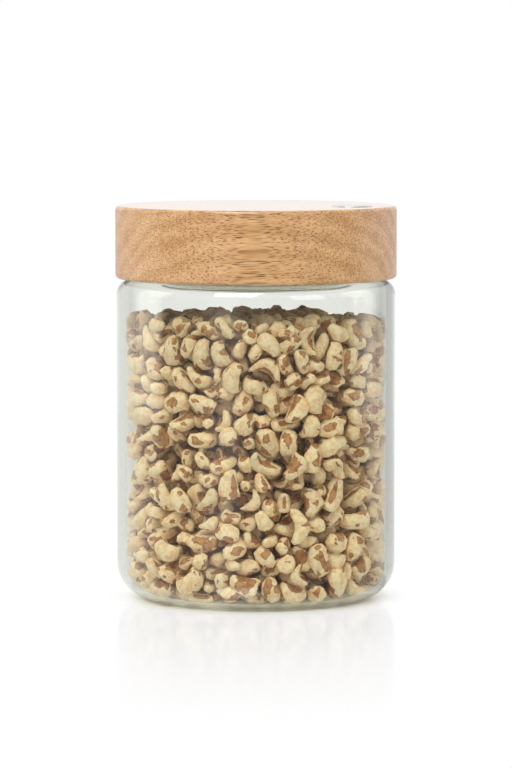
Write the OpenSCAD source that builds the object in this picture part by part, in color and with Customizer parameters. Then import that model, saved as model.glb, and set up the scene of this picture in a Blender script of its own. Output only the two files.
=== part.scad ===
// Glass storage canister with a turned wooden push-on lid.
// The glass body narrows over a rounded shoulder to a neck. The lid drops over the neck,
// and a silicone ring on the plug of the lid's moulded liner closes the mouth from inside.
// Everything is turned or moulded round the upright axis. The base stands on z = 0.

/* [Jar] */
// Outside diameter of the glass body
jar_d = 100; // [90:1:130]
// Height of the shoulder above the table
shoulder_h = 115.2; // [80:0.2:200]
// Thickness of the glass side wall
wall = 3; // [2.5:0.1:4.5]
// Thickness of the glass on top of the shoulder
shoulder_wall = 1.8; // [1.5:0.1:4.5]
// Thickness of the glass floor
floor_t = 2.4; // [2.2:0.1:7]
// Outside radius of the corner at the foot
heel_r = 13; // [9:0.5:18]
// Outside radius of the shoulder
shoulder_r = 5.5; // [5:0.5:10]
// Rise of the shallow dome under the foot
kick_h = 0.8; // [0.3:0.1:1.2]
// Width of the flat ring that the jar stands on
foot_w = 5; // [3:0.5:8]

/* [Neck] */
// Height of the neck above the shoulder
neck_h = 14.5; // [13:0.5:20]
// Thickness of the glass at the neck
neck_wall = 3.5; // [3:0.1:4.5]
// Flat width on top of the shoulder, outside the neck
shoulder_land = 3; // [1:0.1:6]
// Radius in the corner between shoulder and neck
neck_fillet = 1.5; // [0.8:0.1:2]
// Radius of the smoothed edges of the rim
rim_r = 1.2; // [0.6:0.1:1.4]
// Radius of the smoothed edge under the neck, inside the jar
throat_r = 2; // [1:0.1:3]

/* [Lid] */
// Thickness of the wood above the liner
roof_t = 9; // [5:0.2:20]
// How far the cap stands out past the glass body, all round
cap_overhang = 0.5; // [0.2:0.1:3]
// Air gap between the foot of the cap and the glass shoulder
cap_gap = 0.3; // [0.3:0.1:1.5]
// Radius of the cap's upper edge
cap_top_r = 1.2; // [0.6:0.1:3]
// Radius of the cap's lower edge
cap_foot_r = 1.3; // [0.5:0.1:2]
// Width of the wood left around the foot of the liner
foot_wood_w = 2.5; // [2.2:0.1:4]

/* [Liner and seal] */
// Thickness of the moulded liner: its disc, its skirt and its foot
liner_t = 1.2; // [0.8:0.1:2]
// Radius of the liner's inner lower edge
liner_lead_r = 0.8; // [0.4:0.1:1]
// Gap between the neck and the liner, all round
neck_clear = 1.2; // [0.6:0.1:2]
// Height of the plug under the liner's disc
plug_h = 12; // [10:0.5:14]
// Gap between the plug and the glass mouth, all round
plug_gap = 1.5; // [1:0.1:2.5]
// Height of the lip that holds the seal on the plug
lip_h = 2.5; // [2:0.1:3.5]
// Radius of the plug's lower edge
lip_r = 1; // [0.5:0.1:1.5]
// Thickness of the seal's collar, and depth of its groove
collar_t = 2; // [1.2:0.1:3]
// Thickness of the seal's flange, which rests on the rim
flange_t = 1.6; // [1:0.1:2.5]
// Thickness of one sealing fin
fin_t = 1; // [0.6:0.1:1.3]
// Number of sealing fins
fin_count = 3; // [2:1:4]
// Gap between the fins and the glass, all round
fin_clear = 0.3; // [0.2:0.05:0.6]

/* [Badge] */
// Diameter of the plain round badge let into the cap
badge_d = 14.4; // [10:0.2:18]
// How deep the badge is let into the wood
badge_sunk = 0.6; // [0.4:0.1:1.5]
// How far the badge stands proud of the wood
badge_proud = 0.3; // [0.2:0.1:1]
// Distance from the cap's side to the badge
badge_inset = 7.7; // [5:0.1:15]
// Angle of the badge round the cap, from +X
badge_angle = -15; // [-180:5:180]

/* [Hidden] */
$fn = 180;

over = 1;               // overrun of every cut past the face that it opens
seat_clear = 0.05;      // radial room for glue, or for the seal on the plug
badge_edge_share = 0.3; // rounding of the badge's edges, as a share of how far it stands proud
dome_facets = 8 * $fn;  // the dome under the foot is a small part of a very large circle

// Glass body and neck
jar_r = jar_d / 2;
inside_r = jar_r - wall;
inside_heel_r = heel_r - wall;
inside_shoulder_r = shoulder_r - shoulder_wall;
ceiling_z = shoulder_h - shoulder_wall;
neck_r = jar_r - shoulder_r - shoulder_land - neck_fillet;
mouth_r = neck_r - neck_wall;
rim_z = shoulder_h + neck_h;
kick_edge_r = jar_r - heel_r - foot_w;
kick_sphere_r = (kick_edge_r * kick_edge_r + kick_h * kick_h) / (2 * kick_h);

// Wooden cap and the liner glued into it
cap_r = jar_r + cap_overhang;
cap_z = shoulder_h + cap_gap;
liner_bore_r = neck_r + neck_clear;
liner_r = liner_bore_r + liner_t;
liner_foot_r = cap_r - foot_wood_w;
roof_z = rim_z + flange_t;
liner_top_z = roof_z + liner_t;
cap_top_z = liner_top_z + roof_t;

// Plug and seal, which hang from the liner's disc
plug_r = mouth_r - plug_gap;
plug_core_r = plug_r - collar_t;
plug_z = roof_z - plug_h;
groove_z = plug_z + lip_h;
flange_z = roof_z - flange_t;
collar_h = flange_z - groove_z;
fin_pitch = collar_h / fin_count;
fin_tip_r = mouth_r - fin_clear;

// Badge
badge_r = badge_d / 2;
badge_from_axis = cap_r - badge_inset - badge_r;
badge_z = cap_top_z - badge_sunk;

// Half section from the axis out to r, between two heights, with its outer corners rounded.
module half_section(r, z_low, z_high, r_low, r_high) {
    translate([0, z_low + r_low])
        square([r, z_high - z_low - r_low - r_high]);
    translate([0, z_low])
        square([r - r_low, r_low]);
    translate([r - r_low, z_low + r_low])
        circle(r_low);
    translate([0, z_high - r_high])
        square([r - r_high, r_high]);
    translate([r - r_high, z_high - r_high])
        circle(r_high);
}

// The sliver between a square corner and its rounding, outwards from the axis.
// It points up from z, or down if up is false.
module corner_sliver(r, z, radius, up = true) {
    translate([r, z])
        mirror([0, up ? 0 : 1])
            difference() {
                square(radius);
                translate([radius, radius])
                    circle(radius);
            }
}

module glass_outside() {
    half_section(jar_r, 0, shoulder_h, heel_r, shoulder_r);
    translate([0, shoulder_h - shoulder_r])
        square([neck_r, shoulder_r + neck_h / 2]);
    half_section(neck_r, shoulder_h, rim_z, rim_r, rim_r);
    corner_sliver(neck_r, shoulder_h, neck_fillet);
}

module glass_inside() {
    half_section(inside_r, floor_t, ceiling_z, inside_heel_r, inside_shoulder_r);
    translate([0, ceiling_z - inside_shoulder_r])
        square([mouth_r, rim_z - ceiling_z + inside_shoulder_r + over]);
    corner_sliver(mouth_r, ceiling_z, throat_r);
    corner_sliver(mouth_r, rim_z, rim_r, up = false);
}

// Shallow dome under the foot, so that the jar stands on a ring.
module foot_dome() {
    intersection() {
        translate([0, kick_h - kick_sphere_r])
            circle(kick_sphere_r, $fn = dome_facets);
        translate([0, -over])
            square([kick_edge_r, kick_h + over]);
    }
}

module glass_jar() {
    color([0.86, 0.93, 0.9, 0.45])
        rotate_extrude()
            difference() {
                glass_outside();
                glass_inside();
                foot_dome();
            }
}

module badge_place() {
    rotate([0, 0, badge_angle])
        translate([badge_from_axis, 0, badge_z])
            children();
}

module lid_cap() {
    color([0.82, 0.63, 0.43])
        difference() {
            rotate_extrude()
                difference() {
                    half_section(cap_r, cap_z, cap_top_z, cap_foot_r, cap_top_r);
                    translate([0, cap_z - over])
                        square([liner_r + seat_clear, liner_top_z - cap_z + over]);
                    translate([0, cap_z - over])
                        square([liner_foot_r + seat_clear, liner_t + over]);
                }
            badge_place()
                cylinder(h = badge_sunk + over, r = badge_r + seat_clear);
        }
}

// One moulding: a cup that lines the cap's bore and foot, and the plug under its disc.
module lid_liner() {
    color([0.94, 0.94, 0.92])
        rotate_extrude() {
            difference() {
                union() {
                    translate([0, cap_z])
                        square([liner_r, liner_top_z - cap_z]);
                    translate([0, cap_z])
                        square([liner_foot_r, liner_t]);
                }
                translate([0, cap_z - over])
                    square([liner_bore_r, roof_z - cap_z + over]);
                corner_sliver(liner_bore_r, cap_z, liner_lead_r);
            }
            translate([0, groove_z])
                square([plug_core_r, roof_z - groove_z]);
            half_section(plug_r, plug_z, groove_z, lip_r, lip_r / 2);
        }
}

// One fin, from inside the collar out to its round tip.
module fin() {
    reach = fin_tip_r - fin_t / 2;
    translate([plug_core_r + seat_clear, -fin_t / 2])
        square([reach - plug_core_r - seat_clear, fin_t]);
    translate([reach, 0])
        circle(fin_t / 2);
}

module seal_ring() {
    color([0.93, 0.93, 0.91])
        rotate_extrude() {
            translate([plug_core_r + seat_clear, groove_z])
                square([collar_t - seat_clear, roof_z - groove_z]);
            translate([plug_core_r + seat_clear, flange_z])
                square([neck_r - plug_core_r - seat_clear, flange_t]);
            for (i = [0 : fin_count - 1])
                translate([0, groove_z + (i + 0.5) * fin_pitch])
                    fin();
        }
}

module lid_badge() {
    edge_r = badge_edge_share * badge_proud;
    color([0.8, 0.8, 0.8])
        badge_place()
            rotate_extrude()
                half_section(badge_r, 0, badge_sunk + badge_proud, edge_r, edge_r);
}

glass_jar();
lid_cap();
lid_liner();
seal_ring();
lid_badge();
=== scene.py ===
import math

import bpy
import numpy as np
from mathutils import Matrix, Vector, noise


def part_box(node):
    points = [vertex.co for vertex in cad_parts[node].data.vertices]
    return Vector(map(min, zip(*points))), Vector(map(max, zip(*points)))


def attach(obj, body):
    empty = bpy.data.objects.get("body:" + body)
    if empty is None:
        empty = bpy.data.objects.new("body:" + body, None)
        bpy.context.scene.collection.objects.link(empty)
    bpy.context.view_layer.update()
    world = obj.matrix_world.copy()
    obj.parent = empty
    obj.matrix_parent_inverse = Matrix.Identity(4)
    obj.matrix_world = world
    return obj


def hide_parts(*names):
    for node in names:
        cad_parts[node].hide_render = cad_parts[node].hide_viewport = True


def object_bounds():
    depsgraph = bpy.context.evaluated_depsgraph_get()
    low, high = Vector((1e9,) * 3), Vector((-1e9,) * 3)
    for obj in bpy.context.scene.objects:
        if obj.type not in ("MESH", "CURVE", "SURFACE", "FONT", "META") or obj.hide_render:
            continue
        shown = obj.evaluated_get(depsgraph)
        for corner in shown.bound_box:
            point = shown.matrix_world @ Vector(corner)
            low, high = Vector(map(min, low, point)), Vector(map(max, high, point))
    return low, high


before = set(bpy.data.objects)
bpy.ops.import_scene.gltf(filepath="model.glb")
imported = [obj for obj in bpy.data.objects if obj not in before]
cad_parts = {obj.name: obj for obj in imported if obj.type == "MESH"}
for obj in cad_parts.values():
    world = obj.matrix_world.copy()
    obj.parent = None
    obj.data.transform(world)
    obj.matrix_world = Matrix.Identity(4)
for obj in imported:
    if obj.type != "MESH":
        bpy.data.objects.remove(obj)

cad_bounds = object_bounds()


# The camera stands straight in front of the canister, a little above its lid, and looks
# slightly down. Its distance, height and dip are fitted to the outline in the photograph,
# whose long side is upright.
CAMERA_DISTANCE = 1.5
CAMERA_HEIGHT = 0.2013
CAMERA_DIP = 0.0826
FOCAL_PX = 4179.3
LONG_SIDE_PX = 768

camera_data = bpy.data.cameras.new("camera")
camera_data.lens = FOCAL_PX / LONG_SIDE_PX * camera_data.sensor_width
camera = bpy.data.objects.new("camera", camera_data)
camera.location = (0, -CAMERA_DISTANCE, CAMERA_HEIGHT)
camera.rotation_euler = (math.pi / 2 - CAMERA_DIP, 0, 0)
bpy.context.scene.collection.objects.link(camera)
bpy.context.scene.camera = camera


# The studio: a white table top that reflects the canister faintly, a white backdrop, a soft
# box high at the front left and weak ones at the front right and at both sides. The room
# behind the camera is dark, but for a tall window that the glass shows as an upright band.
FLOOR_REACH = 0.75
FLOOR_WHITE = (0.93, 0.93, 0.93, 1)
PURE_WHITE = (1, 1, 1, 1)
# the table top: its glow and its faint mirror, each over a distance from the middle
GLOW_NEAR = 0.985
GLOW_FADE = (0.08, 0.4)
GLOW_START = (0.038, 0.0555)
MIRROR_SHARE = 0.2
MIRROR_FADE = (0.045, 0.3)
MIRROR_ROUGHNESS = 0.11
# the room and the backdrop: how bright, and between which directions that changes
AMBIENT = (0.2, 1.0)
AMBIENT_EDGE = (-0.5, 0.5)
DARK_ROOM = 0.07
ROOM_LEAN = 0.12
ROOM_EDGE = (-0.06, 0.12)
BACKDROP_EDGE = (0.995, 0.965)
BACKDROP_SIDE = 0.74
BACKDROP_RIGHT = 0.28
RIGHT_EDGE = (0.08, 0.22)
WINDOW_LEVEL = 0.8
WINDOW_LEFT = (-0.72, -0.6)
WINDOW_RIGHT = (-0.28, -0.18)
LAMPS = {
    # name: (azimuth from the front in degrees, elevation, distance, width, height, watts)
    "key_box": (-20, 50, 0.95, 0.5, 0.5, 6.4),
    "fill_box": (45, 25, 1.0, 0.5, 0.5, 1.5),
    "left_box": (-100, 14, 0.75, 0.4, 0.7, 0.65),
    "right_box": (100, 14, 0.75, 0.4, 0.7, 0.6),
}


def add(tree, kind, inputs=None, **settings):
    """Adds a node to a tree, then sets its settings and sets or links its inputs."""
    node = tree.nodes.new(kind)
    for name, value in settings.items():
        setattr(node, name, value)
    for key, value in (inputs or {}).items():
        if isinstance(value, bpy.types.NodeSocket):
            tree.links.new(value, node.inputs[key])
        else:
            node.inputs[key].default_value = value
    return node


def math_node(tree, operation, *values):
    """One Math node, as its output socket."""
    return add(tree, "ShaderNodeMath", dict(enumerate(values)), operation=operation).outputs[0]


def fade_node(tree, value, start, end, at_start, at_end):
    """A smooth change from one value to another, as an output socket."""
    inputs = {"Value": value, "From Min": start, "From Max": end, "To Min": at_start, "To Max": at_end}
    return add(tree, "ShaderNodeMapRange", inputs, interpolation_type="SMOOTHSTEP").outputs["Result"]


def new_material(name):
    """A material with an empty tree, and that tree."""
    material = bpy.data.materials.new(name)
    material.use_nodes = True
    material.node_tree.nodes.clear()
    return material, material.node_tree


def surroundings(tree, place):
    """How bright the studio is in the direction of a place, for a ray's three kinds: mirrored,
    passed through glass, and scattered. It is white behind the canister and dark in front."""
    level = add(tree, "ShaderNodeVectorMath", {0: place, 1: (1, 1, 0)}, operation="MULTIPLY").outputs[0]
    level = add(tree, "ShaderNodeVectorMath", {0: level}, operation="NORMALIZE").outputs[0]
    way = add(tree, "ShaderNodeSeparateXYZ", {0: level}).outputs
    behind = math_node(tree, "MULTIPLY_ADD", way["X"], -ROOM_LEAN, way["Y"])
    mirrored = fade_node(tree, behind, *ROOM_EDGE, DARK_ROOM, 1)
    window = fade_node(tree, way["X"], *WINDOW_LEFT, 0, WINDOW_LEVEL)
    window = math_node(tree, "MULTIPLY", window, fade_node(tree, way["X"], *WINDOW_RIGHT, 1, 0))
    window = math_node(tree, "MULTIPLY", window, math_node(tree, "LESS_THAN", way["Y"], 0.0))
    mirrored = math_node(tree, "MAXIMUM", mirrored, window)
    passed = fade_node(tree, way["Y"], *BACKDROP_EDGE, 1, BACKDROP_SIDE)
    to_right = fade_node(tree, way["X"], *RIGHT_EDGE, 0, 1)
    passed = math_node(tree, "MULTIPLY_ADD", to_right, -BACKDROP_RIGHT, passed)
    scattered_light = fade_node(tree, behind, *AMBIENT_EDGE, *AMBIENT)
    return mirrored, passed, scattered_light


world = bpy.data.worlds.new("studio")
bpy.context.scene.world = world
world.use_nodes = True
world.node_tree.nodes.clear()
sky = world.node_tree
mirrored, passed, scattered_light = surroundings(sky, add(sky, "ShaderNodeTexCoord").outputs["Generated"])
path = add(sky, "ShaderNodeLightPath").outputs
level = add(sky, "ShaderNodeMix", {0: path["Is Glossy Ray"], 2: scattered_light, 3: mirrored}).outputs[0]
level = add(sky, "ShaderNodeMix", {0: path["Is Transmission Ray"], 2: level, 3: passed}).outputs[0]
level = math_node(sky, "MAXIMUM", level, path["Is Camera Ray"])
light = add(sky, "ShaderNodeBackground", {"Color": PURE_WHITE, "Strength": level})
add(sky, "ShaderNodeOutputWorld", {"Surface": light.outputs[0]})

for lamp_name, (azimuth, elevation, distance, width, height, watts) in LAMPS.items():
    lamp_data = bpy.data.lights.new(lamp_name, "AREA")
    lamp_data.shape = "RECTANGLE"
    lamp_data.size, lamp_data.size_y = width, height
    lamp_data.energy = watts
    lamp = bpy.data.objects.new(lamp_name, lamp_data)
    turn, rise = math.radians(azimuth), math.radians(elevation)
    middle = cad_bounds[1].z / 2
    lamp.location = (
        distance * math.sin(turn) * math.cos(rise),
        -distance * math.cos(turn) * math.cos(rise),
        middle + distance * math.sin(rise),
    )
    lamp.rotation_euler = (math.pi / 2 - rise, 0, turn)
    lamp.visible_camera = False
    bpy.context.scene.collection.objects.link(lamp)

floor_corners = [(x * FLOOR_REACH, y * FLOOR_REACH, 0) for x, y in ((-1, -1), (1, -1), (1, 1), (-1, 1))]
floor_mesh = bpy.data.meshes.new("sweep")
floor_mesh.from_pydata(floor_corners, [], [(0, 1, 2, 3)])
floor = bpy.data.objects.new("sweep", floor_mesh)
bpy.context.scene.collection.objects.link(floor)
sweep_paper, tree = new_material("sweep_paper")
place = add(tree, "ShaderNodeTexCoord").outputs["Object"]
reach = add(tree, "ShaderNodeVectorMath", {0: place}, operation="LENGTH").outputs["Value"]
paper = add(tree, "ShaderNodeBsdfDiffuse", {"Color": FLOOR_WHITE})
mirrored, passed, scattered_light = surroundings(tree, place)
path = add(tree, "ShaderNodeLightPath").outputs
glow_level = add(tree, "ShaderNodeMix", {0: path["Is Glossy Ray"], 2: 1.0, 3: mirrored}).outputs[0]
glow_level = add(tree, "ShaderNodeMix", {0: path["Is Transmission Ray"], 2: glow_level, 3: passed}).outputs[0]
glow = add(tree, "ShaderNodeEmission", {"Color": PURE_WHITE, "Strength": glow_level})
glow_share = fade_node(tree, reach, *GLOW_FADE, GLOW_NEAR, 1)
glow_share = math_node(tree, "MULTIPLY", glow_share, fade_node(tree, reach, *GLOW_START, 0, 1))
lit = add(tree, "ShaderNodeMixShader", {0: glow_share, 1: paper.outputs[0], 2: glow.outputs[0]})
mirror = add(tree, "ShaderNodeBsdfGlossy", {"Color": PURE_WHITE, "Roughness": MIRROR_ROUGHNESS})
mirror_share = fade_node(tree, reach, *MIRROR_FADE, MIRROR_SHARE, 0)
floor_mix = add(tree, "ShaderNodeMixShader", {0: mirror_share, 1: lit.outputs[0], 2: mirror.outputs[0]})
add(tree, "ShaderNodeOutputMaterial", {"Surface": floor_mix.outputs[0]})
floor.data.materials.append(sweep_paper)


# The jar is one piece of pressed glass: a straight wall, a large round heel, a small
# shoulder and a smooth neck. It stands on a ring round a shallow dome. It is clear, and
# greenish where the light goes a long way through it.
GLASS_WALL = 0.003
SHOULDER_WALL = 0.0018
GLASS_FLOOR = 0.0024
NECK_WALL = 0.0035
HEEL_R = 0.013
SHOULDER_R = 0.0055
SHOULDER_LAND = 0.003
NECK_FILLET_R = 0.0015
NECK_H = 0.0145
RIM_R = 0.0012
THROAT_R = 0.002
DOME_RISE = 0.0008
DOME_STEPS = (0, 0.2, 0.4, 0.6, 0.8)
FOOT_RING_W = 0.005
GLASS_TINT = (0.975, 0.985, 0.98, 1)
GLASS_SHADOW = (0.97, 0.98, 0.97, 1)
GLASS_DEEP_COLOUR = (0.56, 0.62, 0.25, 1)
GLASS_DENSITY = 27.0
GLASS_IOR = 1.5
TURNED_SEGMENTS = 192
ARC_STEP = math.radians(7.5)
HOLD = 0.0003

jar_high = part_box("glass_jar")[1]
jar_r = jar_high.x
rim_z = jar_high.z
shoulder_z = rim_z - NECK_H
neck_r = jar_r - SHOULDER_R - SHOULDER_LAND - NECK_FILLET_R
mouth_r = neck_r - NECK_WALL
inside_r = jar_r - GLASS_WALL
ceiling_z = shoulder_z - SHOULDER_WALL


def rounded(corners, closed=False):
    """An outline through corners (r, z, rounding), with arcs for the roundings and with a
    point close to each end of a straight run, so that flat faces stay flat when smoothed."""
    count = len(corners)
    points = []
    for i, (r, z, rounding) in enumerate(corners):
        here = np.array((r, z))
        if rounding == 0 or (not closed and i in (0, count - 1)):
            points.append([here])
            continue
        before = np.array(corners[i - 1][:2]) - here
        after = np.array(corners[(i + 1) % count][:2]) - here
        before /= np.linalg.norm(before)
        after /= np.linalg.norm(after)
        half = math.acos(float(np.clip(before @ after, -1, 1))) / 2
        centre = here + (before + after) / np.linalg.norm(before + after) * rounding / math.sin(half)
        start = here + before * rounding / math.tan(half) - centre
        end = here + after * rounding / math.tan(half) - centre
        sweep = math.pi - 2 * half
        steps = max(2, math.ceil(sweep / ARC_STEP))
        turns = np.linspace(0, 1, steps + 1)
        from_start = np.sin((1 - turns) * sweep)[:, None] * start
        from_end = np.sin(turns * sweep)[:, None] * end
        points.append(list(centre + (from_start + from_end) / math.sin(sweep)))
    outline = []
    for i, run in enumerate(points):
        outline += run
        if i == count - 1 and not closed:
            break
        ahead = points[(i + 1) % count][0]
        gap = ahead - run[-1]
        length = np.linalg.norm(gap)
        if length > 3 * HOLD:
            outline += [run[-1] + gap * HOLD / length, ahead - gap * HOLD / length]
    return outline


def turned(name, outline, closed=False, centre=(0, 0), segments=TURNED_SEGMENTS):
    """A mesh object turned from an outline round an upright axis. An open outline starts and
    ends on the axis, and each end is closed by one point."""
    rings = outline if closed else outline[1:-1]
    turns = np.linspace(0, 2 * math.pi, segments, endpoint=False)
    verts = [(centre[0] + r * math.cos(a), centre[1] + r * math.sin(a), z) for r, z in rings for a in turns]
    faces = []
    for k in range(len(rings) if closed else len(rings) - 1):
        low, high = k * segments, (k + 1) % len(rings) * segments
        for s in range(segments):
            t = (s + 1) % segments
            faces.append((low + s, low + t, high + t, high + s))
    if not closed:
        first, last = len(verts), len(verts) + 1
        verts += [(*centre, outline[0][1]), (*centre, outline[-1][1])]
        top = (len(rings) - 1) * segments
        for s in range(segments):
            t = (s + 1) % segments
            faces += [(first, t, s), (last, top + s, top + t)]
    mesh = bpy.data.meshes.new(name)
    mesh.from_pydata(verts, [], faces)
    mesh.polygons.foreach_set("use_smooth", [True] * len(faces))
    mesh.update()
    piece = bpy.data.objects.new(name, mesh)
    bpy.context.scene.collection.objects.link(piece)
    return piece


def fit_up(piece, body, node, material):
    """Gives a piece its material and lets it ride on its body in place of its plain node."""
    piece.data.materials.append(material)
    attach(piece, body)
    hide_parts(node)


dome_edge_r = jar_r - HEEL_R - FOOT_RING_W
jar_corners = [(dome_edge_r * s, DOME_RISE * (1 - s * s), 0) for s in DOME_STEPS]
jar_corners += [
    (dome_edge_r, 0, 0),
    (jar_r, 0, HEEL_R),
    (jar_r, shoulder_z, SHOULDER_R),
    (neck_r, shoulder_z, NECK_FILLET_R),
    (neck_r, rim_z, RIM_R),
    (mouth_r, rim_z, RIM_R),
    (mouth_r, ceiling_z, THROAT_R),
    (inside_r, ceiling_z, SHOULDER_R - SHOULDER_WALL),
    (inside_r, GLASS_FLOOR, HEEL_R - GLASS_WALL),
    (0, GLASS_FLOOR, 0),
]
jar = turned("jar_glass", rounded(jar_corners))
clear_glass, tree = new_material("clear_glass")
glass = add(tree, "ShaderNodeBsdfPrincipled", {
    "Base Color": GLASS_TINT, "Roughness": 0.0, "IOR": GLASS_IOR, "Transmission Weight": 1.0,
})
see_through = add(tree, "ShaderNodeBsdfTransparent", {"Color": GLASS_SHADOW})
path = add(tree, "ShaderNodeLightPath").outputs
passing = math_node(tree, "MAXIMUM", path["Is Shadow Ray"], path["Is Diffuse Ray"])
glass_mix = add(tree, "ShaderNodeMixShader", {0: passing, 1: glass.outputs[0], 2: see_through.outputs[0]})
depth = add(tree, "ShaderNodeVolumeAbsorption", {"Color": GLASS_DEEP_COLOUR, "Density": GLASS_DENSITY})
add(tree, "ShaderNodeOutputMaterial", {"Surface": glass_mix.outputs[0], "Volume": depth.outputs[0]})
fit_up(jar, "jar", "glass_jar", clear_glass)


# The puffed wheat lies loose in the jar, against the glass and the floor. Each grain is a
# kernel that burst, cream outside, and brown in its crease and in the hollows where bran is
# left. The grains are settled by letting them push each other apart and sink.
GRAIN_COUNT = 1880
GRAIN_SEED = 20
SIZE_SPREAD = (0.7, 1.12)
# one kernel: its kinds, its mesh, and the hollows, flats and lumps that make it uneven
GRAIN_SHAPES = 15
GRAIN_KINDS = (
    # length, width, bend, depth of the crease, its half width in degrees, hollows, flat sides
    ((0.0108, 0.0130), (0.0072, 0.0082), (0.0000, 0.0012), (0.10, 0.35), 24, 3, 1),
    ((0.0112, 0.0130), (0.0060, 0.0070), (0.0012, 0.0024), (0.15, 0.35), 32, 2, 0),
    ((0.0104, 0.0122), (0.0070, 0.0082), (0.0002, 0.0016), (0.20, 0.40), 28, 3, 2),
    ((0.0106, 0.0124), (0.0072, 0.0082), (0.0004, 0.0016), (0.35, 0.50), 44, 2, 0),
    ((0.0074, 0.0096), (0.0060, 0.0074), (0.0000, 0.0010), (0.10, 0.30), 28, 3, 3),
)
GRAIN_FLATNESS = (0.84, 1.0)
GRAIN_BLUNTNESS = (0.55, 0.8)
GRAIN_TAPER = (-0.14, 0.14)
GRAIN_ANGLES = [0, 28, 66, 110, 156, 204, 250, 294, 332]
GRAIN_RINGS = 6
HOLLOW_SPREAD = (0.45, 0.9)
HOLLOW_DEPTH = (0.12, 0.36)
FLAT_FROM = 0.8
CREASE_RUN = 0.7
BALL_SHARE = 0.86
LUMP_SIZE = 0.0032
LUMP_SHARE = 0.34
# the heap: how loosely it starts, how its top lies, and how it settles
FILL_TOP = 0.1235
FILL_PACKING = 0.96
FILL_JITTER = 0.35
FILL_MARGIN = 0.4
PILE_TOP = 0.1058
PILE_UNEVEN = 0.0004
TOP_TILT = (-0.014, -0.03)
TOP_MOUND = 0.0016
MOUND_SIZE = 0.03
GLASS_CLEARANCE = 0.00006
SETTLE_STEPS = 260
SETTLE_SINK = 0.00009
SINK_FADE = 1.3
PUSH_SHARE = 0.42
SEARCH_EVERY = 8
SEARCH_REACH = 2.3
# tones: grains differ a little at random, and those high up and at the back get painted shade, darker and
# warmer, for the lid's shadow
TONE_SPREAD = 0.05
TONE_LIMITS = (0.86, 1.1)
UPPER_SHADE = 0.11
UPPER_FROM = (0.07, 0.1)
BACK_SHADE = 0.47
BACK_TOP_FROM = (0.094, 0.099)
BACK_FROM = (-0.036, 0.0)
SHADE_WARMTH = (1.0, 0.8, 0.6, 1)
SHADE_WARM_BELOW = (0.45, 0.85)
# skin: where bran is left, how ragged and dark its rims are, and how fine each pattern is
PATCH_SIZE = 0.0035
PATCH_ODDS = 0.27
PATCH_MARGIN = (0.06, 0.24)
PATCH_SOFT = 0.08
CREASE_RAGGED = 0.5
CREASE_EDGE = (0.8, 0.96)
RIM_DARKNESS = 2.6
WOBBLE_FINENESS = 700.0
WOBBLE_REACH = 0.0011
BLOTCH_FINENESS = 520.0
BLOTCH_EDGE = (0.36, 0.6)
WRINKLE_FINENESS = 1000.0
BRAN_SUNK = 0.5


def srgb(red, green, blue):
    """A colour read from 0 to 255 on a screen, as the linear colour that a shader takes."""
    shares = [c / 255 for c in (red, green, blue)]
    return (*[s / 12.92 if s <= 0.04045 else ((s + 0.055) / 1.055) ** 2.4 for s in shares], 1)


CREAM = srgb(252, 230, 190)
CREAM_DEEP = srgb(238, 199, 147)
BRAN = srgb(204, 150, 98)
BRAN_DEEP = srgb(160, 106, 64)
BRAN_EDGE = srgb(112, 66, 36)


def grain_shape(number, rng):
    """One kernel, lying along X with its crease up, and the three balls that stand for it."""
    *ranges, crease_width, hollows, flats = GRAIN_KINDS[number % len(GRAIN_KINDS)]
    length, width, bend, crease = [rng.uniform(*limits) for limits in ranges]
    height = width * rng.uniform(*GRAIN_FLATNESS)
    blunt = rng.uniform(*GRAIN_BLUNTNESS)
    taper = rng.uniform(*GRAIN_TAPER)
    along = np.pi * np.arange(1, GRAIN_RINGS + 1) / (GRAIN_RINGS + 1)
    along = np.concatenate(([0], np.repeat(along, len(GRAIN_ANGLES)), [np.pi]))
    around = np.concatenate(([0], np.tile(np.radians(GRAIN_ANGLES), GRAIN_RINGS), [0]))
    ends, belly = -np.cos(along), np.sin(along)
    aim = np.stack([ends, belly * np.sin(around), belly * np.cos(around)], 1)
    off_crease = np.minimum(around, 2 * np.pi - around) / math.radians(crease_width)
    bran = np.exp(-(off_crease**2)) * belly**CREASE_RUN
    size = 1 - crease * bran
    for _ in range(hollows):
        middle = rng.normal(size=3)
        off_middle = np.arccos(np.clip(aim @ middle / np.linalg.norm(middle), -1, 1))
        hollow = np.exp(-((off_middle / rng.uniform(*HOLLOW_SPREAD)) ** 2))
        size *= 1 - rng.uniform(*HOLLOW_DEPTH) * hollow
        bran = np.maximum(bran, hollow)
    for _ in range(flats):
        facing = rng.normal(size=3)
        size *= FLAT_FROM / np.maximum(aim @ facing / np.linalg.norm(facing), FLAT_FROM)
    girth = belly**blunt * (1 - taper * ends)
    verts = np.stack([ends * length, np.sin(around) * girth * width, np.cos(around) * girth * height], 1)
    verts *= size[:, None] / 2
    lumps = [noise.noise(spot + (0, number, 0)) for spot in verts / LUMP_SIZE]
    verts[:, 1:] *= 1 + LUMP_SHARE * np.array(lumps)[:, None]
    verts[:, 2] += bend * (2 * ends**2 - 1)
    across = len(GRAIN_ANGLES)
    faces = []
    for k in range(GRAIN_RINGS - 1):
        for s in range(across):
            t = (s + 1) % across
            a, b = 1 + k * across, 1 + (k + 1) * across
            faces.append((a + s, a + t, b + t, b + s))
    last = len(verts) - 1
    for s in range(across):
        t = (s + 1) % across
        faces += [(0, 1 + t, 1 + s), (last, last - across + s, last - across + t)]
    mesh = bpy.data.meshes.new(f"grain_{number}")
    mesh.from_pydata(verts.tolist(), [], faces)
    mesh.polygons.foreach_set("use_smooth", [True] * len(faces))
    mesh.attributes.new("bran", "FLOAT", "POINT").data.foreach_set("value", bran.tolist())
    ball_r = (width + height) / 4 * BALL_SHARE
    reach = length / 2 - ball_r
    balls = [(-reach, 0, bend * 0.7), (0, 0, -bend * 0.8), (reach, 0, bend * 0.7)]
    return bpy.data.objects.new(f"grain_{number:02d}", mesh), balls, ball_r


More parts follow.
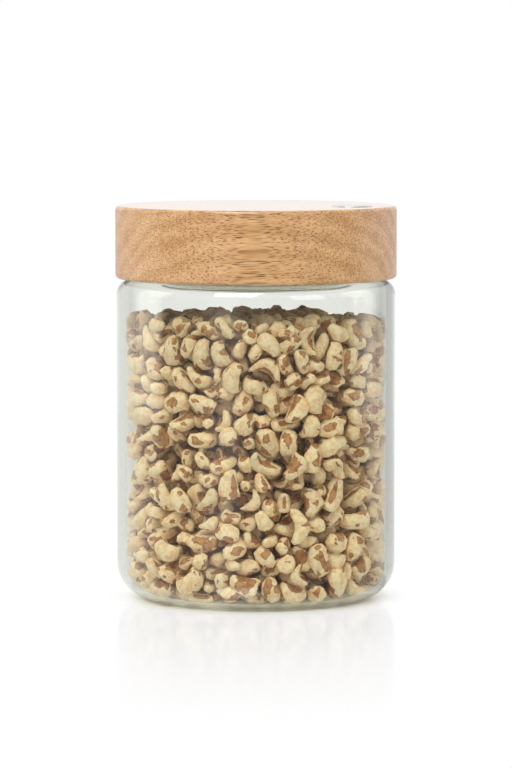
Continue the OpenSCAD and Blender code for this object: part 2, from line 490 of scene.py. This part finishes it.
def close_pairs(centres, reach):
    """Every pair of points nearer than reach, found by sorting them into cubes of that size
    and by looking only in a point's own cube and the 26 round it."""
    cubes = np.floor(centres / reach).astype(np.int64)
    cubes -= cubes.min(0) - 1
    span = cubes.max(0) + 2
    keys = (cubes[:, 0] * span[1] + cubes[:, 1]) * span[2] + cubes[:, 2]
    order = np.argsort(keys, kind="stable")
    ranked = keys[order]
    found = []
    for dx in (-1, 0, 1):
        for dy in (-1, 0, 1):
            for dz in (-1, 0, 1):
                wanted = keys + (dx * span[1] + dy) * span[2] + dz
                first = np.searchsorted(ranked, wanted, "left")
                many = np.searchsorted(ranked, wanted, "right") - first
                one = np.repeat(np.arange(len(keys)), many)
                start = np.repeat(first - np.cumsum(many) + many, many)
                two = order[start + np.arange(len(one))]
                found.append(np.stack([one, two])[:, one < two])
    pairs = np.concatenate(found, 1)
    gap = np.linalg.norm(centres[pairs[0]] - centres[pairs[1]], axis=1)
    return pairs[:, gap < reach]


def push_inside(centres, radii):
    """How far each ball has to move to be inside the glass."""
    move = np.zeros_like(centres)
    out = np.maximum(np.hypot(centres[:, 0], centres[:, 1]), 1e-9)
    side = centres[:, :2] / out[:, None]
    room = inside_r - GLASS_CLEARANCE - radii
    heel_r = HEEL_R - GLASS_WALL
    heel_z = GLASS_FLOOR + heel_r
    past_wall = np.maximum(out - room, 0)
    move[:, :2] -= side * past_wall[:, None]
    move[:, 2] += np.maximum(GLASS_FLOOR + GLASS_CLEARANCE + radii - centres[:, 2], 0)
    over, under = out - (inside_r - heel_r), heel_z - centres[:, 2]
    corner = (over > 0) & (under > 0)
    away = np.maximum(np.hypot(over, under), 1e-9)
    extra = np.where(corner, np.maximum(away - (heel_r - GLASS_CLEARANCE - radii), 0), 0)
    move[corner] = 0
    move[:, :2] -= side * (extra * over / away)[:, None]
    move[:, 2] += extra * under / away
    return move


def settle(balls, radii, rng):
    """Places and turns for the grains, settled in the jar. Each grain is three joined balls."""
    room_each = math.pi * inside_r**2 * (FILL_TOP - GLASS_FLOOR) / len(balls)
    pitch = FILL_PACKING * room_each ** (1 / 3)
    steps = np.arange(-inside_r, FILL_TOP + 2 * pitch, pitch)
    grid = np.stack(np.meshgrid(steps, steps, steps, indexing="ij"), -1).reshape(-1, 3)
    grid += rng.uniform(-FILL_JITTER, FILL_JITTER, grid.shape) * pitch
    off_wall = np.hypot(grid[:, 0], grid[:, 1]) < inside_r - pitch * FILL_MARGIN
    grid = grid[off_wall & (grid[:, 2] > GLASS_FLOOR + pitch * FILL_MARGIN)]
    tilt = grid[:, 0] * TOP_TILT[0] + grid[:, 1] * TOP_TILT[1]
    mounds = [noise.noise((x / MOUND_SIZE, y / MOUND_SIZE, 0)) for x, y, z in grid]
    height = grid[:, 2] - tilt - TOP_MOUND * np.array(mounds)
    place = grid[np.argsort(height)[: len(balls)]]
    turn = np.linalg.qr(rng.normal(size=(len(balls), 3, 3)))[0]
    turn *= np.linalg.det(turn)[:, None, None]
    arm = (balls**2).sum((1, 2))
    owner = np.repeat(np.arange(len(balls)), 3)
    ball_r = np.repeat(radii, 3)
    highest = PILE_TOP + np.repeat(rng.normal(0, PILE_UNEVEN, len(balls)), 3)
    for step in range(SETTLE_STEPS):
        levers = np.einsum("nij,nkj->nki", turn, balls)
        centres = (place[:, None] + levers).reshape(-1, 3)
        if step % SEARCH_EVERY == 0:
            pairs = close_pairs(centres, SEARCH_REACH * radii.max())
            pairs = pairs[:, owner[pairs[0]] != owner[pairs[1]]]
        # balls of two grains push each other apart, and the glass and the top's level push back
        apart = centres[pairs[0]] - centres[pairs[1]]
        gap = np.maximum(np.linalg.norm(apart, axis=1), 1e-9)
        overlap = np.maximum(ball_r[pairs[0]] + ball_r[pairs[1]] - gap, 0)
        shove = apart * (overlap / gap * PUSH_SHARE)[:, None]
        move = push_inside(centres, ball_r)
        level = highest + centres[:, :2] @ TOP_TILT
        move[:, 2] -= np.maximum(centres[:, 2] + ball_r - level, 0)
        for axis in range(3):
            move[:, axis] += np.bincount(pairs[0], shove[:, axis], len(centres))
            move[:, axis] -= np.bincount(pairs[1], shove[:, axis], len(centres))
        # the pushes on a grain's three balls become one move, one turn and a little sinking
        move = move.reshape(-1, 3, 3)
        spin = np.cross(levers, move).sum(1) / arm[:, None]
        sink = SETTLE_SINK * max(0.0, 1 - SINK_FADE * step / SETTLE_STEPS)
        place = place + move.mean(1) - (0, 0, sink)
        angle = np.maximum(np.linalg.norm(spin, axis=1), 1e-12)
        axis = spin / angle[:, None]
        cross = np.zeros((len(place), 3, 3))
        cross[:, 0, 1], cross[:, 0, 2], cross[:, 1, 2] = -axis[:, 2], axis[:, 1], -axis[:, 0]
        cross -= cross.transpose(0, 2, 1)
        sine, versine = np.sin(angle)[:, None, None], 1 - np.cos(angle)[:, None, None]
        turn = (np.eye(3) + sine * cross + versine * cross @ cross) @ turn
    return place, turn


def euler_angles(turn):
    """The XYZ Euler angles of each turn."""
    about_x = np.arctan2(turn[:, 2, 1], turn[:, 2, 2])
    about_y = np.arcsin(np.clip(-turn[:, 2, 0], -1, 1))
    about_z = np.arctan2(turn[:, 1, 0], turn[:, 0, 0])
    return np.stack([about_x, about_y, about_z], 1)


def scatter_tree():
    """Geometry Nodes that put one of a collection's shapes on each point of a mesh."""
    tree = bpy.data.node_groups.new("scatter_grains", "GeometryNodeTree")
    face = tree.interface
    face.new_socket("Geometry", in_out="INPUT", socket_type="NodeSocketGeometry")
    for socket_name, kind in (
        ("Shapes", "NodeSocketCollection"), ("Finish", "NodeSocketMaterial"), ("Size", "NodeSocketFloat"),
    ):
        face.new_socket(socket_name, in_out="INPUT", socket_type=kind)
    face.new_socket("Geometry", in_out="OUTPUT", socket_type="NodeSocketGeometry")
    given = tree.nodes.new("NodeGroupInput").outputs

    def stored(attribute, kind):
        return add(tree, "GeometryNodeInputNamedAttribute", {"Name": attribute}, data_type=kind).outputs[0]

    shapes = add(tree, "GeometryNodeCollectionInfo", {
        "Collection": given["Shapes"], "Separate Children": True, "Reset Children": True,
    })
    grown = add(tree, "ShaderNodeMath", {0: stored("size", "FLOAT"), 1: given["Size"]}, operation="MULTIPLY")
    placed = add(tree, "GeometryNodeInstanceOnPoints", {
        "Points": given["Geometry"], "Instance": shapes.outputs[0], "Pick Instance": True,
        "Instance Index": stored("shape", "INT"), "Rotation": stored("turn", "FLOAT_VECTOR"),
        "Scale": grown.outputs[0],
    })
    real = add(tree, "GeometryNodeRealizeInstances", {"Geometry": placed.outputs[0]})
    dressed = add(tree, "GeometryNodeSetMaterial", {"Geometry": real.outputs[0], "Material": given["Finish"]})
    add(tree, "NodeGroupOutput", {0: dressed.outputs[0]})
    return tree


def scattered(name, tree, points, attributes, settings):
    """A plain mesh object made by a Geometry Nodes tree from points that carry attributes."""
    mesh = bpy.data.meshes.new(name + "_points")
    mesh.from_pydata([tuple(p) for p in points], [], [])
    for key, kind, values in attributes:
        field = "vector" if kind == "FLOAT_VECTOR" else "value"
        mesh.attributes.new(key, kind, "POINT").data.foreach_set(field, np.ravel(values).tolist())
    seed = bpy.data.objects.new(name + "_points", mesh)
    bpy.context.scene.collection.objects.link(seed)
    modifier = seed.modifiers.new("scatter", "NODES")
    modifier.node_group = tree
    sockets = {s.name: s.identifier for s in tree.interface.items_tree if s.in_out == "INPUT"}
    for key, value in settings.items():
        modifier[sockets[key]] = value
    shown = seed.evaluated_get(bpy.context.evaluated_depsgraph_get())
    plain = bpy.data.meshes.new_from_object(shown)
    plain.name = name
    bpy.data.objects.remove(seed)
    piece = bpy.data.objects.new(name, plain)
    bpy.context.scene.collection.objects.link(piece)
    return piece


puffed_wheat, tree = new_material("puffed_wheat")
place = add(tree, "ShaderNodeTexCoord").outputs["Object"]
wobble = add(tree, "ShaderNodeTexNoise", {"Vector": place, "Scale": WOBBLE_FINENESS, "Detail": 2.0})
shift = add(tree, "ShaderNodeVectorMath", {
    0: wobble.outputs["Color"], 1: (WOBBLE_REACH,) * 3,
}, operation="MULTIPLY").outputs[0]
warped = add(tree, "ShaderNodeVectorMath", {0: place, 1: shift}, operation="ADD").outputs[0]
patches = {"Vector": warped, "Scale": 1 / PATCH_SIZE}
edges = add(tree, "ShaderNodeTexVoronoi", patches, feature="DISTANCE_TO_EDGE")
cells = add(tree, "ShaderNodeTexVoronoi", patches)
lot = add(tree, "ShaderNodeSeparateColor", {0: cells.outputs["Color"]}).outputs
chosen = math_node(tree, "LESS_THAN", lot["Red"], PATCH_ODDS)
margin = fade_node(tree, lot["Green"], 0.0, 1.0, *PATCH_MARGIN)
within = math_node(tree, "SUBTRACT", edges.outputs["Distance"], margin)
patch = math_node(tree, "MULTIPLY", chosen, fade_node(tree, within, 0.0, PATCH_SOFT, 0, 1))
crease = add(tree, "ShaderNodeAttribute", attribute_name="bran").outputs["Fac"]
rough_crease = math_node(tree, "MULTIPLY_ADD", wobble.outputs["Fac"], CREASE_RAGGED, crease)
in_crease = fade_node(tree, rough_crease, *CREASE_EDGE, 0, 1)
bran = math_node(tree, "MAXIMUM", patch, in_crease)
edge = math_node(tree, "MULTIPLY", bran, math_node(tree, "SUBTRACT", 1.0, bran))
edge_share = math_node(tree, "MULTIPLY", edge, RIM_DARKNESS)
blotch = add(tree, "ShaderNodeTexNoise", {
    "Vector": place, "Scale": BLOTCH_FINENESS, "Detail": 4.0, "Roughness": 0.65,
})
pale = fade_node(tree, blotch.outputs["Fac"], *BLOTCH_EDGE, 0, 1)
cream = add(tree, "ShaderNodeMix", {0: pale, 6: CREAM_DEEP, 7: CREAM}, data_type="RGBA")
skin = add(tree, "ShaderNodeMix", {0: pale, 6: BRAN_DEEP, 7: BRAN}, data_type="RGBA")
coat = add(tree, "ShaderNodeMix", {0: bran, 6: cream.outputs[2], 7: skin.outputs[2]}, data_type="RGBA")
coat = add(tree, "ShaderNodeMix", {0: edge_share, 6: coat.outputs[2], 7: BRAN_EDGE}, data_type="RGBA")
# the tone attribute holds each grain's random tone and the painted shade of the lid; where it is low, the
# colour is also warmed as painted shade
tone_and_painted_shade = add(tree, "ShaderNodeAttribute", attribute_name="tone_and_painted_shade").outputs["Fac"]
shade_warmth_inputs = {0: fade_node(tree, tone_and_painted_shade, *SHADE_WARM_BELOW, 1, 0), 6: coat.outputs[2], 7: SHADE_WARMTH}
shade_warmed_coat = add(tree, "ShaderNodeMix", shade_warmth_inputs, data_type="RGBA", blend_type="MULTIPLY")
toned_and_shaded = add(tree, "ShaderNodeHueSaturation", {"Value": tone_and_painted_shade, "Color": shade_warmed_coat.outputs[2]})
wrinkle = add(tree, "ShaderNodeTexNoise", {
    "Vector": place, "Scale": WRINKLE_FINENESS, "Detail": 4.0, "Roughness": 0.6,
})
relief = math_node(tree, "MULTIPLY_ADD", bran, -BRAN_SUNK, wrinkle.outputs["Fac"])
bump = add(tree, "ShaderNodeBump", {"Height": relief, "Strength": 0.8, "Distance": 0.0005})
grain_skin = add(tree, "ShaderNodeBsdfPrincipled", {
    "Base Color": toned_and_shaded.outputs[0], "Roughness": 0.7, "Specular IOR Level": 0.2, "Normal": bump.outputs[0],
    "Subsurface Weight": 0.2, "Subsurface Radius": (1.0, 0.45, 0.2), "Subsurface Scale": 0.001,
})
add(tree, "ShaderNodeOutputMaterial", {"Surface": grain_skin.outputs[0]})

rng = np.random.default_rng(GRAIN_SEED)
grain_box = bpy.data.collections.new("grain_shapes")
shapes = [grain_shape(number, rng) for number in range(GRAIN_SHAPES)]
for shape, _, _ in shapes:
    grain_box.objects.link(shape)
kinds = rng.integers(0, GRAIN_SHAPES, GRAIN_COUNT)
sizes = rng.uniform(*SIZE_SPREAD, GRAIN_COUNT)
grain_balls = np.array([shapes[k][1] for k in kinds]) * sizes[:, None, None]
grain_radii = np.array([shapes[k][2] for k in kinds]) * sizes
places, turns = settle(grain_balls, grain_radii, rng)
angles = euler_angles(turns)
tones_and_painted_shade = rng.normal(1.0, TONE_SPREAD, GRAIN_COUNT).clip(*TONE_LIMITS)
# painted shade: grains high up, and more so those high up at the back, are darkened for the lid's shadow
tones_and_painted_shade *= 1 - UPPER_SHADE * np.interp(places[:, 2], UPPER_FROM, (0, 1))
at_top = np.interp(places[:, 2], BACK_TOP_FROM, (0, 1))
at_back = np.interp(places[:, 1], BACK_FROM, (0, 1))
tones_and_painted_shade *= 1 - BACK_SHADE * at_top * at_back
grain_tree = scatter_tree()
upper = places[:, 2] > np.median(places[:, 2])
for grain_name, chosen_ones in (("puffed_wheat_lower", ~upper), ("puffed_wheat_upper", upper)):
    grains = scattered(grain_name, grain_tree, places[chosen_ones], [
        ("turn", "FLOAT_VECTOR", angles[chosen_ones]), ("size", "FLOAT", sizes[chosen_ones]),
        ("shape", "INT", kinds[chosen_ones]), ("tone_and_painted_shade", "FLOAT", tones_and_painted_shade[chosen_ones]),
    ], {"Shapes": grain_box, "Finish": puffed_wheat, "Size": 1.0})
    verts = np.empty(3 * len(grains.data.vertices), np.float32)
    grains.data.vertices.foreach_get("co", verts)
    verts = verts.reshape(-1, 3).astype(float)
    verts += push_inside(verts, 0.0)
    grains.data.vertices.foreach_set("co", verts.ravel().astype(np.float32))
    grains.data.update()
    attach(grains, "jar")
for shape, _, _ in shapes:
    bpy.data.objects.remove(shape)
bpy.data.collections.remove(grain_box)


# The cap is turned from one block of pale hardwood, with its grain from side to side. Its
# edges are just eased by sanding, and it is lightly oiled, so that the pores show as fine
# dark dashes where the face runs with the grain and as dots where it crosses it.
CAP_TOP_R = 0.0012
CAP_FOOT_R = 0.0013
LINER_T = 0.0012
FOOT_WOOD_W = 0.0025
NECK_CLEAR = 0.0012
PITH = (0, -0.07, 0.07)
RING_SPACING = 0.0072
RING_WAVER = 0.014
FIBRE_TILT = (0, 0.035, 0.02)
# streaks: cycles a metre along and across the fibres, and detail
RING_STREAKS = (16, 40, 2.0)
BAND_STREAKS = (22, 170, 3.0)
FIBRE_STREAKS = (90, 1500, 3.0)
GRIT_STREAKS = (260, 2600, 2.0)
BLUSH_STREAKS = (7, 20, 1.0)
WANDER_STREAKS = (40, 60, 1.0)
STREAK_EDGE = (0.34, 0.66)
BLUSH_EDGE = (0.4, 0.6)
SHADE_START = -0.54
RING_SHADE = 0.24
BAND_SHADE = 0.85
FIBRE_SHADE = 0.42
GRIT_SHADE = 0.3
WOOD_PALE = srgb(225, 180, 128)
WOOD_BLUSH = srgb(222, 178, 140)
WOOD_DARK = srgb(178, 126, 74)
PORE_DARK = srgb(130, 86, 46)
# pores: distance apart, outer and inner reach as shares of it
COARSE_PORES = (0.00092, 0.22, 0.11)
FINE_PORES = (0.0006, 0.3, 0.14)
COARSE_CROWD = (0.6, 0.95)
CROWD_RINGS = (0.2, 0.8)
FINE_CROWD = 0.8
FINE_SHARE = 0.7
PORE_WANDER = 0.0016
PORE_OPEN = (0.45, 1)
OPEN_FIBRE = (0.1, 0.5)
FIBRE_RELIEF = 0.25
SIDE_ROUGHNESS = (0.3, 0.44)
TOP_ROUGHNESS = 0.06

cap_low, cap_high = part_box("lid_cap")
cap_r = cap_high.x
liner_bore_r = neck_r + NECK_CLEAR
liner_r = liner_bore_r + LINER_T
liner_foot_r = cap_r - FOOT_WOOD_W
liner_top_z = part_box("lid_liner")[1].z

oiled_wood, tree = new_material("oiled_wood")
place = add(tree, "ShaderNodeTexCoord").outputs["Object"]
fibre_place = add(tree, "ShaderNodeMapping", {"Vector": place, "Rotation": FIBRE_TILT}).outputs[0]


def streaks(along, across, detail):
    """Noise drawn out along the fibres, which run along X. Both values are cycles a metre."""
    stretch = {0: fibre_place, 1: (along, across, across)}
    scaled = add(tree, "ShaderNodeVectorMath", stretch, operation="MULTIPLY")
    inputs = {"Vector": scaled.outputs[0], "Scale": 1.0, "Detail": detail, "Roughness": 0.6}
    return add(tree, "ShaderNodeTexNoise", inputs).outputs["Fac"]


from_pith = add(tree, "ShaderNodeVectorMath", {0: fibre_place, 1: PITH}, operation="SUBTRACT")
sides = add(tree, "ShaderNodeSeparateXYZ", {0: from_pith.outputs[0]}).outputs
squares = [math_node(tree, "POWER", sides[s], 2.0) for s in ("Y", "Z")]
radius = math_node(tree, "SQRT", math_node(tree, "ADD", *squares))
waver = math_node(tree, "MULTIPLY_ADD", streaks(*RING_STREAKS), RING_WAVER, radius)
ring = math_node(tree, "SINE", math_node(tree, "MULTIPLY", waver, 2 * math.pi / RING_SPACING))
ring = fade_node(tree, ring, -1.0, 1.0, 0, 1)
fibre = fade_node(tree, streaks(*FIBRE_STREAKS), *STREAK_EDGE, 0, 1)
grit = fade_node(tree, streaks(*GRIT_STREAKS), *STREAK_EDGE, 0, 1)
shade = math_node(tree, "MULTIPLY_ADD", ring, RING_SHADE, SHADE_START)
shade = math_node(tree, "MULTIPLY_ADD", streaks(*BAND_STREAKS), BAND_SHADE, shade)
shade = math_node(tree, "MULTIPLY_ADD", fibre, FIBRE_SHADE, shade)
shade = math_node(tree, "MULTIPLY_ADD", grit, GRIT_SHADE, shade)
shade = add(tree, "ShaderNodeClamp", {0: shade}).outputs[0]
blush = fade_node(tree, streaks(*BLUSH_STREAKS), *BLUSH_EDGE, 0, 1)
pale = add(tree, "ShaderNodeMix", {0: blush, 6: WOOD_PALE, 7: WOOD_BLUSH}, data_type="RGBA").outputs[2]
wood = add(tree, "ShaderNodeMix", {0: shade, 6: pale, 7: WOOD_DARK}, data_type="RGBA").outputs[2]
wander = streaks(*WANDER_STREAKS)
across_y = math_node(tree, "MULTIPLY_ADD", wander, PORE_WANDER, sides["Y"])
across_z = math_node(tree, "MULTIPLY_ADD", wander, -PORE_WANDER, sides["Z"])
end_grain = add(tree, "ShaderNodeCombineXYZ", {"X": across_y, "Y": across_z}).outputs[0]


def pores(spacing, wide, narrow, crowd):
    """Thin tubes along the fibres: dashes on the front of the cap, dots round its sides. They
    are as far apart as the spacing, and wide and narrow are shares of it."""
    inputs = {"Vector": end_grain, "Scale": 1 / spacing}
    tubes = add(tree, "ShaderNodeTexVoronoi", inputs, voronoi_dimensions="2D").outputs
    present = add(tree, "ShaderNodeSeparateColor", {0: tubes["Color"]}).outputs["Red"]
    tube = fade_node(tree, tubes["Distance"], narrow, wide, 1, 0)
    return math_node(tree, "MULTIPLY", tube, math_node(tree, "LESS_THAN", present, crowd))


coarse = pores(*COARSE_PORES, fade_node(tree, ring, *CROWD_RINGS, *COARSE_CROWD))
fine = pores(*FINE_PORES, FINE_CROWD)
open_share = fade_node(tree, fibre, *OPEN_FIBRE, *PORE_OPEN)
pore = math_node(tree, "MAXIMUM", coarse, math_node(tree, "MULTIPLY", fine, FINE_SHARE))
pore = math_node(tree, "MULTIPLY", pore, open_share)
wood = add(tree, "ShaderNodeMix", {0: pore, 6: wood, 7: PORE_DARK}, data_type="RGBA").outputs[2]
on_top = add(tree, "ShaderNodeSeparateXYZ", {0: place}).outputs["Z"]
on_top = math_node(tree, "GREATER_THAN", on_top, cap_high.z - CAP_TOP_R)
height = math_node(tree, "MULTIPLY_ADD", pore, -1.0, math_node(tree, "MULTIPLY", fibre, FIBRE_RELIEF))
height = math_node(tree, "MULTIPLY", height, math_node(tree, "SUBTRACT", 1.0, on_top))
bump = add(tree, "ShaderNodeBump", {"Height": height, "Strength": 0.3, "Distance": 0.0001})
side_roughness = fade_node(tree, fibre, 0, 1, *SIDE_ROUGHNESS)
roughness = add(tree, "ShaderNodeMix", {0: on_top, 2: side_roughness, 3: TOP_ROUGHNESS}).outputs[0]
oiled = add(tree, "ShaderNodeBsdfPrincipled", {
    "Base Color": wood, "Roughness": roughness, "Normal": bump.outputs[0],
})
add(tree, "ShaderNodeOutputMaterial", {"Surface": oiled.outputs[0]})

cap_corners = [
    (0, liner_top_z, 0),
    (liner_r, liner_top_z, 0),
    (liner_r, cap_low.z + LINER_T, 0),
    (liner_foot_r, cap_low.z + LINER_T, 0),
    (liner_foot_r, cap_low.z, 0),
    (cap_r, cap_low.z, CAP_FOOT_R),
    (cap_r, cap_high.z, CAP_TOP_R),
    (0, cap_high.z, 0),
]
cap = turned("cap_wood", rounded(cap_corners))
fit_up(cap, "lid", "lid_cap", oiled_wood)


# The liner is one moulding of off-white plastic, glued into the cap. It lines the cap's
# bore and most of its foot, and its plug carries the seal in a groove. Seen through the
# shoulder of the glass, it is why no wood shows there.
LINER_LEAD_R = 0.0008
PLUG_H = 0.012
PLUG_GAP = 0.0015
COLLAR_T = 0.002
LIP_H = 0.0025
LIP_R = 0.001
OFF_WHITE = srgb(240, 241, 237)
SPARK_FINENESS = 900.0
LINER_ROUGHNESS = (0.36, 0.46)

roof_z = liner_top_z - LINER_T
plug_z = roof_z - PLUG_H
plug_r = mouth_r - PLUG_GAP
plug_core_r = plug_r - COLLAR_T
groove_z = plug_z + LIP_H
liner_corners = [
    (0, plug_z, 0),
    (plug_r, plug_z, LIP_R),
    (plug_r, groove_z, LIP_R / 2),
    (plug_core_r, groove_z, LIP_R / 4),
    (plug_core_r, roof_z, 0),
    (liner_bore_r, roof_z, 0),
    (liner_bore_r, cap_low.z, LINER_LEAD_R),
    (liner_foot_r, cap_low.z, 0),
    (liner_foot_r, cap_low.z + LINER_T, 0),
    (liner_r, cap_low.z + LINER_T, 0),
    (liner_r, liner_top_z, 0),
    (0, liner_top_z, 0),
]
liner = turned("liner_plastic", rounded(liner_corners))
moulded_plastic, tree = new_material("moulded_plastic")
place = add(tree, "ShaderNodeTexCoord").outputs["Object"]
spark = add(tree, "ShaderNodeTexNoise", {"Vector": place, "Scale": SPARK_FINENESS, "Detail": 2.0})
spark = spark.outputs["Fac"]
spark_bump = add(tree, "ShaderNodeBump", {"Height": spark, "Strength": 0.1, "Distance": 0.0001})
plastic = add(tree, "ShaderNodeBsdfPrincipled", {
    "Base Color": OFF_WHITE, "Roughness": fade_node(tree, spark, 0.3, 0.7, *LINER_ROUGHNESS),
    "Normal": spark_bump.outputs[0],
})
add(tree, "ShaderNodeOutputMaterial", {"Surface": plastic.outputs[0]})
fit_up(liner, "lid", "lid_liner", moulded_plastic)


# The seal is one moulded ring of milky silicone, stretched round the plug. Its flange lies
# on the rim of the jar and its three soft fins press on the glass inside the mouth.
FIN_T = 0.001
FIN_COUNT = 3
FIN_CLEAR = 0.0003
SEAL_EDGE_R = 0.0004
SEAT_CLEAR = 0.00005
SILICONE = srgb(236, 237, 232)
DUST_FINENESS = 260.0
SEAL_ROUGHNESS = (0.38, 0.6)

seal_in_r = plug_core_r + SEAT_CLEAR
fin_tip_r = mouth_r - FIN_CLEAR
fin_pitch = (rim_z - groove_z) / FIN_COUNT
seal_corners = [(seal_in_r, groove_z, 0), (plug_r, groove_z, 0)]
for fin in range(FIN_COUNT):
    fin_z = groove_z + (fin + 0.5) * fin_pitch
    seal_corners += [
        (plug_r, fin_z - FIN_T / 2, 0),
        (fin_tip_r, fin_z - FIN_T / 2, SEAL_EDGE_R),
        (fin_tip_r, fin_z + FIN_T / 2, SEAL_EDGE_R),
        (plug_r, fin_z + FIN_T / 2, 0),
    ]
seal_corners += [
    (plug_r, rim_z, 0),
    (neck_r, rim_z, SEAL_EDGE_R),
    (neck_r, roof_z, SEAL_EDGE_R),
    (seal_in_r, roof_z, 0),
]
seal = turned("seal_silicone", rounded(seal_corners, closed=True), closed=True)
milky_silicone, tree = new_material("milky_silicone")
place = add(tree, "ShaderNodeTexCoord").outputs["Object"]
dust = add(tree, "ShaderNodeTexNoise", {
    "Vector": place, "Scale": DUST_FINENESS, "Detail": 4.0, "Roughness": 0.7,
})
dusty = fade_node(tree, dust.outputs["Fac"], 0.35, 0.7, *SEAL_ROUGHNESS)
silicone = add(tree, "ShaderNodeBsdfPrincipled", {
    "Base Color": SILICONE, "Roughness": dusty, "Subsurface Weight": 0.3, "Subsurface Scale": 0.002,
})
add(tree, "ShaderNodeOutputMaterial", {"Surface": silicone.outputs[0]})
fit_up(seal, "lid", "seal_ring", milky_silicone)


# The badge is a thin stamped disc of satin metal let into the cap. Its face is plain and
# slightly dished inside a narrow rolled rim.
BADGE_RIM_W = 0.0006
BADGE_DISH = 0.00004
BADGE_EDGE_R = 0.00018
BADGE_SEGMENTS = 96
BADGE_METAL = srgb(225, 225, 223)
BADGE_ROUGHNESS = (0.4, 0.52)
BRUSH_FINENESS = (120.0, 9000.0, 120.0)

badge_low, badge_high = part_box("lid_badge")
badge_centre = ((badge_low.x + badge_high.x) / 2, (badge_low.y + badge_high.y) / 2)
badge_r = (badge_high.x - badge_low.x) / 2
badge_corners = [
    (0, badge_low.z, 0),
    (badge_r, badge_low.z, BADGE_EDGE_R),
    (badge_r, badge_high.z, BADGE_EDGE_R),
    (badge_r - BADGE_RIM_W, badge_high.z, BADGE_EDGE_R / 2),
    (badge_r - 2 * BADGE_RIM_W, badge_high.z - BADGE_DISH, 0),
    (0, badge_high.z - BADGE_DISH, 0),
]
badge = turned("badge_metal", rounded(badge_corners), centre=badge_centre, segments=BADGE_SEGMENTS)
satin_metal, tree = new_material("satin_metal")
place = add(tree, "ShaderNodeTexCoord").outputs["Object"]
lines = add(tree, "ShaderNodeVectorMath", {0: place, 1: BRUSH_FINENESS}, operation="MULTIPLY")
brushed = add(tree, "ShaderNodeTexNoise", {"Vector": lines.outputs[0], "Scale": 1.0, "Detail": 2.0})
brushed_roughness = fade_node(tree, brushed.outputs["Fac"], 0.3, 0.7, *BADGE_ROUGHNESS)
metal = add(tree, "ShaderNodeBsdfPrincipled", {
    "Base Color": BADGE_METAL, "Metallic": 1.0, "Roughness": brushed_roughness,
})
add(tree, "ShaderNodeOutputMaterial", {"Surface": metal.outputs[0]})
fit_up(badge, "lid", "lid_badge", satin_metal)


# The canister is complete.
bpy.context.scene.view_settings.view_transform = "Standard"
